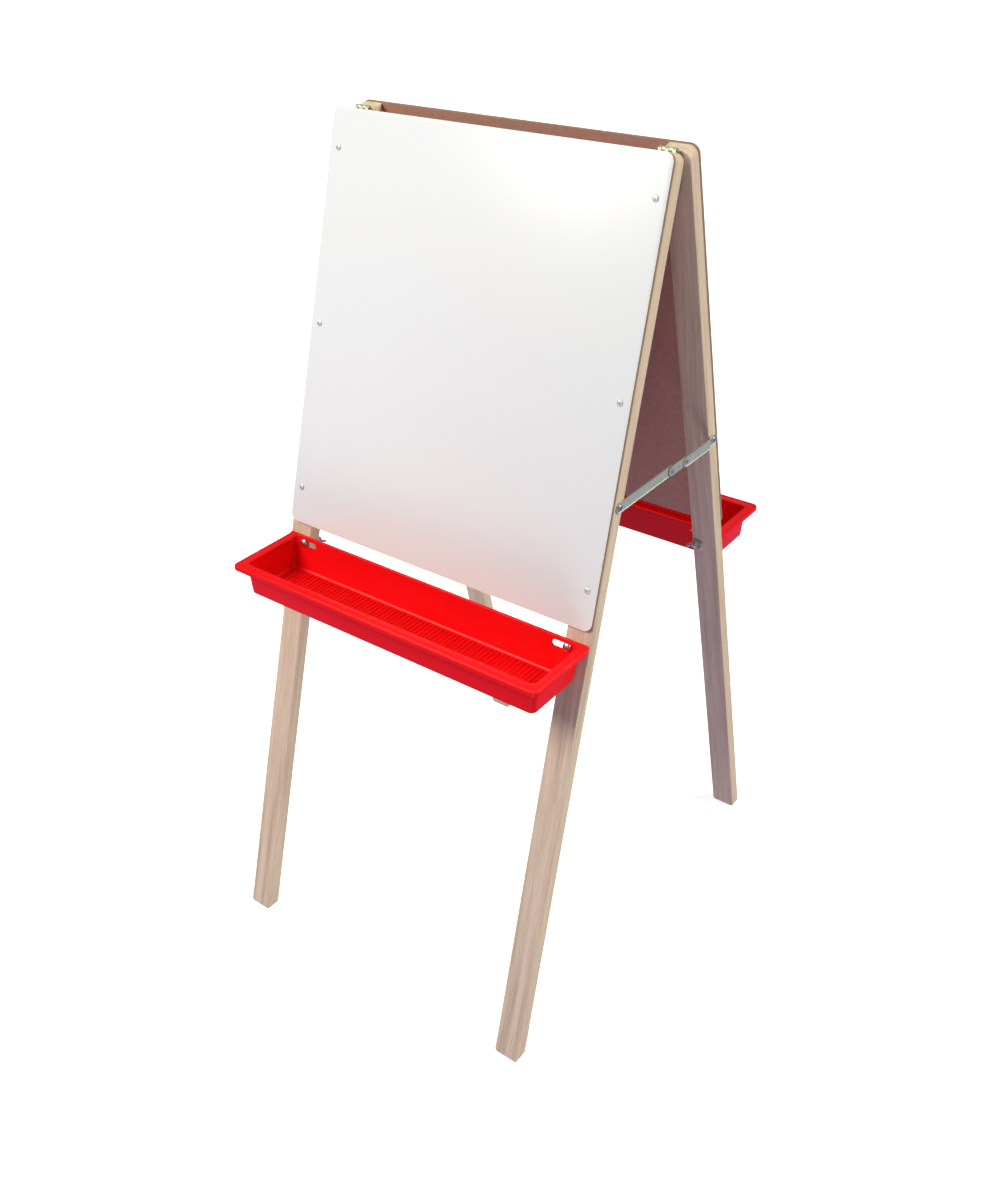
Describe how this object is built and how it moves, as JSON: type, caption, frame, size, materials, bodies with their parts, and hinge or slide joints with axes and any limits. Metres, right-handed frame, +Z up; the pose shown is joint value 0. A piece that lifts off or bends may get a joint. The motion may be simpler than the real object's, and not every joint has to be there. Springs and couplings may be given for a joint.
{
  "type": "double-sided folding easel",
  "caption": "Free-standing A-frame easel: two hinged wooden frames, each with a white writing board and a bolted moulded tray, held open by folding side braces.",
  "frame": {"origin": "on the floor, under the middle of the easel as it stands open", "axes": "+Z up; X across the width, with the left pieces at -X; the front board faces -Y, and the rear board +Y"},
  "size_m": [0.5448, 0.6864, 1.2186],
  "materials": {
    "light_hardwood": "plain sanded light hardwood",
    "white_panel": "hardboard with a glossy white writing face and a plain brown back",
    "red_plastic": "moulded, satin gloss",
    "zinc_plated_steel": "zinc plated",
    "bright_steel": "bright plated"
  },
  "bodies": {
    "front_frame": {"front_left_leg": "light_hardwood", "front_right_leg": "light_hardwood", "front_board": "white_panel", "front_left_board_screw_top": "zinc_plated_steel", "front_left_board_screw_middle": "zinc_plated_steel", "front_left_board_screw_bottom": "zinc_plated_steel", "front_right_board_screw_top": "zinc_plated_steel", "front_right_board_screw_middle": "zinc_plated_steel", "front_right_board_screw_bottom": "zinc_plated_steel", "front_tray": "red_plastic", "front_left_tray_bolt": "bright_steel", "front_left_tray_washer": "bright_steel", "left_hinge_front_leaf": "zinc_plated_steel", "left_hinge_front_screw_upper": "zinc_plated_steel", "left_hinge_front_screw_lower": "zinc_plated_steel", "left_brace_front_screw": "zinc_plated_steel", "front_right_tray_bolt": "bright_steel", "front_right_tray_washer": "bright_steel", "right_hinge_front_leaf": "zinc_plated_steel", "right_hinge_front_screw_upper": "zinc_plated_steel", "right_hinge_front_screw_lower": "zinc_plated_steel", "right_brace_front_screw": "zinc_plated_steel", "left_hinge_pin": "zinc_plated_steel", "right_hinge_pin": "zinc_plated_steel"},
    "rear_frame": {"rear_left_leg": "light_hardwood", "rear_right_leg": "light_hardwood", "rear_board": "white_panel", "rear_left_board_screw_top": "zinc_plated_steel", "rear_left_board_screw_middle": "zinc_plated_steel", "rear_left_board_screw_bottom": "zinc_plated_steel", "rear_right_board_screw_top": "zinc_plated_steel", "rear_right_board_screw_middle": "zinc_plated_steel", "rear_right_board_screw_bottom": "zinc_plated_steel", "rear_tray": "red_plastic", "rear_left_tray_bolt": "bright_steel", "rear_left_tray_washer": "bright_steel", "left_hinge_rear_leaf": "zinc_plated_steel", "left_hinge_rear_screw_upper": "zinc_plated_steel", "left_hinge_rear_screw_lower": "zinc_plated_steel", "left_brace_rear_screw": "zinc_plated_steel", "rear_right_tray_bolt": "bright_steel", "rear_right_tray_washer": "bright_steel", "right_hinge_rear_leaf": "zinc_plated_steel", "right_hinge_rear_screw_upper": "zinc_plated_steel", "right_hinge_rear_screw_lower": "zinc_plated_steel", "right_brace_rear_screw": "zinc_plated_steel"},
    "left_front_arm": {"left_brace_front_arm": "zinc_plated_steel"},
    "left_rear_arm": {"left_brace_rear_arm": "zinc_plated_steel", "left_brace_joint_plate": "zinc_plated_steel", "left_brace_knee_rivet": "zinc_plated_steel", "left_brace_plate_rivet": "zinc_plated_steel"},
    "right_front_arm": {"right_brace_front_arm": "zinc_plated_steel"},
    "right_rear_arm": {"right_brace_rear_arm": "zinc_plated_steel", "right_brace_joint_plate": "zinc_plated_steel", "right_brace_knee_rivet": "zinc_plated_steel", "right_brace_plate_rivet": "zinc_plated_steel"},
    "front_left_nut": {"front_left_wing_nut": "bright_steel"},
    "front_right_nut": {"front_right_wing_nut": "bright_steel"},
    "rear_left_nut": {"rear_left_wing_nut": "bright_steel"},
    "rear_right_nut": {"rear_right_wing_nut": "bright_steel"}
  },
  "joints": [
    {"name": "frame_fold", "type": "hinge", "parent": "front_frame", "child": "rear_frame", "pos_m": [0, 0, 1.2135], "axis": [-1, 0, 0], "range_deg": [0, 27.5]},
    {"name": "left_front_arm_fold", "type": "hinge", "parent": "front_frame", "child": "left_front_arm", "pos_m": [-0.2658, -0.12418, 0.79738], "axis": [1, 0, 0], "range_deg": [0, 53.4]},
    {"name": "left_rear_arm_fold", "type": "hinge", "parent": "rear_frame", "child": "left_rear_arm", "pos_m": [-0.2658, 0.12418, 0.79738], "axis": [-1, 0, 0], "range_deg": [0, 79.6]},
    {"name": "right_front_arm_fold", "type": "hinge", "parent": "front_frame", "child": "right_front_arm", "pos_m": [0.2658, -0.12418, 0.79738], "axis": [1, 0, 0], "range_deg": [0, 53.4]},
    {"name": "right_rear_arm_fold", "type": "hinge", "parent": "rear_frame", "child": "right_rear_arm", "pos_m": [0.2658, 0.12418, 0.79738], "axis": [-1, 0, 0], "range_deg": [0, 79.6]},
    {"name": "front_left_nut_turn", "type": "hinge", "parent": "front_frame", "child": "front_left_nut", "pos_m": [-0.2347, -0.16387, 0.60413], "axis": [0, 0.9674, -0.2533], "range_deg": [-270, 0]},
    {"name": "front_right_nut_turn", "type": "hinge", "parent": "front_frame", "child": "front_right_nut", "pos_m": [0.2347, -0.16387, 0.60413], "axis": [0, 0.9674, -0.2533], "range_deg": [-270, 0]},
    {"name": "rear_left_nut_turn", "type": "hinge", "parent": "rear_frame", "child": "rear_left_nut", "pos_m": [-0.2347, 0.16387, 0.60413], "axis": [0, -0.9674, -0.2533], "range_deg": [-270, 0]},
    {"name": "rear_right_nut_turn", "type": "hinge", "parent": "rear_frame", "child": "rear_right_nut", "pos_m": [0.2347, 0.16387, 0.60413], "axis": [0, -0.9674, -0.2533], "range_deg": [-270, 0]}
  ],
  "couplings": [
    {"joint": "left_front_arm_fold", "follows": "frame_fold", "ratio": 1.9393},
    {"joint": "left_rear_arm_fold", "follows": "frame_fold", "ratio": 2.893},
    {"joint": "right_front_arm_fold", "follows": "frame_fold", "ratio": 1.9393},
    {"joint": "right_rear_arm_fold", "follows": "frame_fold", "ratio": 2.893}
  ]
}
